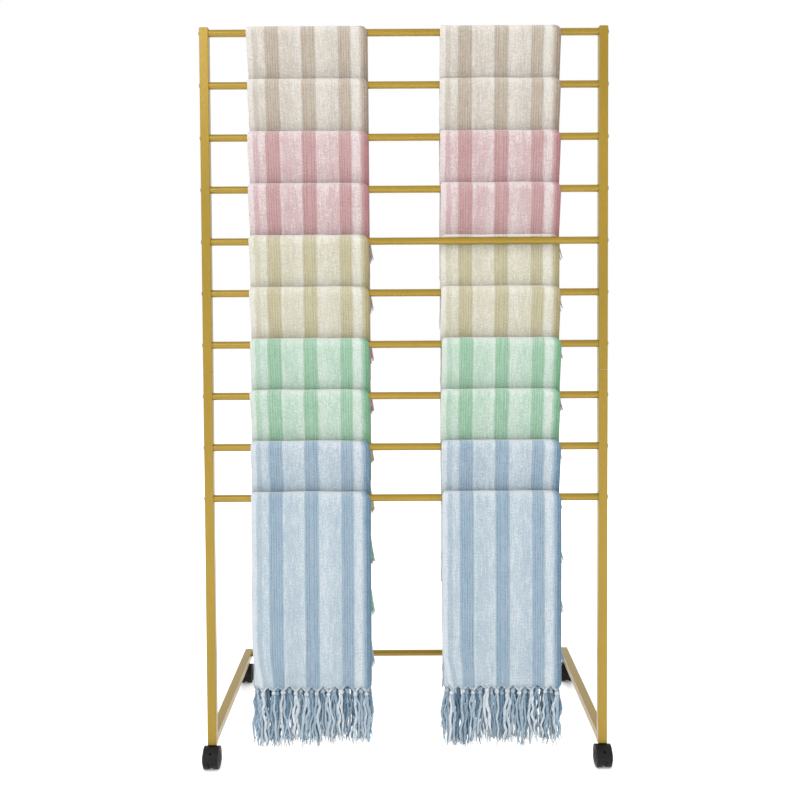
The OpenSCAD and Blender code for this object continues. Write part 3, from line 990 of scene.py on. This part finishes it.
def build_throw(side, n, cloth, yarn):
    """One folded throw and its fringe."""
    rng = np.random.default_rng(100 * n + (7 if side == "left" else 31))
    bottom = n == RUNGS
    path = Path(side, n, bottom)
    columns = FINE_COLUMNS if bottom else COLUMNS
    points, weave = throw_points(rng, side, n, path, columns, bottom)
    body = quilt_name(side, n)
    verts, faces, field = thick_cloth(points, weave)
    piece = make_object(f"throw_{n:02d}_{side}", verts, faces, {"weave": field}, body,
                        cloth)
    wave_at = front_hem_wave(side, n, path, points, weave)
    yarns = Yarns()
    for face in (FRONT, BACK):
        hem_fringe(Hem(rng, yarns, side, n, face), wave_at)
    fields = {"weave": np.concatenate(yarns.weave), "twist": np.concatenate(yarns.twist)}
    fringe = make_object(f"fringe_{n:02d}_{side}", np.concatenate(yarns.points), yarns.faces,
                         fields, body, yarn)
    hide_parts(quilt_name(side, n))


CLOTHS = {c: throw_material(c) for c in PALETTE}
YARNS = {c: yarn_material(c) for c in PALETTE}
for side in SIDES:
    for n in range(1, RUNGS + 1):
        build_throw(side, n, CLOTHS[colour_of(n)], YARNS[colour_of(n)])


# ---------------------------------------------------------------- studio

FLOOR_HALF = 14
# Lamps: name, place, aim, width, power, and whether glossy paint mirrors them
LAMPS = (
    ("key", (-1.9, -3.6, 3.2), (0, -0.25, 1.0), 2.2, 55, True),
    ("front", (0.3, -4.6, 1.2), (0, -0.25, 0.8), 2.6, 72, False),
    ("top", (0.3, -4.0, 6.5), (0, -0.25, 1.0), 3.0, 240, False),
    ("back", (-1.2, 3.6, 3.4), (0, -0.1, 0.9), 2.6, 95, False),
)
# The camera: sensor and lens in millimetres, lens shift in sensor widths, place and turn
SENSOR = 36
LENS = 1.25 * SENSOR
LENS_SHIFT = (-0.0034, -0.0942)
CAMERA_X = -0.006
CAMERA_IN_FRONT = 2.426
CAMERA_HEIGHT = 1.1695
CAMERA_DOWN = 2.0
CAMERA_ROLL = -0.3


def floor_material():
    """A floor that stays nearly white under the lamps, with faint clouds."""
    t = Tree("studio_floor")
    cloud = t.noise(t.position(), 1.3, 2.0)
    tint = t.ramp(cloud, ((0.3, linear((252, 252, 252))), (0.7, linear((255, 255, 255)))))
    t.set(Base_Color=tint, Roughness=0.9, Specular_IOR_Level=0.1)
    t.set(Emission_Color=(1, 1, 1, 1), Emission_Strength=0.06)
    return t.material


def add_floor():
    mesh = bpy.data.meshes.new("floor")
    h = FLOOR_HALF
    mesh.from_pydata([(-h, -h, 0), (h, -h, 0), (h, h, 0), (-h, h, 0)], [], [(0, 1, 2, 3)])
    mesh.materials.append(floor_material())
    floor = bpy.data.objects.new("floor", mesh)
    bpy.context.scene.collection.objects.link(floor)


def add_world():
    world = bpy.data.worlds.new("studio")
    world.use_nodes = True
    background = world.node_tree.nodes["Background"]
    background.inputs["Color"].default_value = (1, 1, 1, 1)
    background.inputs["Strength"].default_value = 1.0
    bpy.context.scene.world = world


def add_lamps():
    for name, place, aim, width, power, shiny in LAMPS:
        light = bpy.data.lights.new(name, "AREA")
        light.shape, light.size, light.energy = "DISK", width, power
        lamp = bpy.data.objects.new(name, light)
        lamp.location = place
        lamp.rotation_euler = (Vector(aim) - Vector(place)).to_track_quat("-Z", "Y").to_euler()
        lamp.visible_glossy = shiny
        bpy.context.scene.collection.objects.link(lamp)


def add_camera():
    """The photograph's view: nearly level, straight on, from the height of the sixth rung."""
    lens = bpy.data.cameras.new("camera")
    lens.sensor_width = SENSOR
    lens.lens = LENS
    lens.shift_x, lens.shift_y = LENS_SHIFT
    made = bpy.data.objects.new("camera", lens)
    place = Vector((CAMERA_X, RUNG_Y - CAMERA_IN_FRONT, CAMERA_HEIGHT))
    look = Matrix.Rotation(math.radians(90 - CAMERA_DOWN), 3, "X")
    roll = Matrix.Rotation(math.radians(CAMERA_ROLL), 3, "Z")
    made.matrix_world = Matrix.Translation(place) @ (look @ roll).to_4x4()
    bpy.context.scene.collection.objects.link(made)
    bpy.context.scene.camera = made


add_floor()
add_world()
add_lamps()
bpy.context.scene.view_settings.view_transform = "Standard"
add_camera()
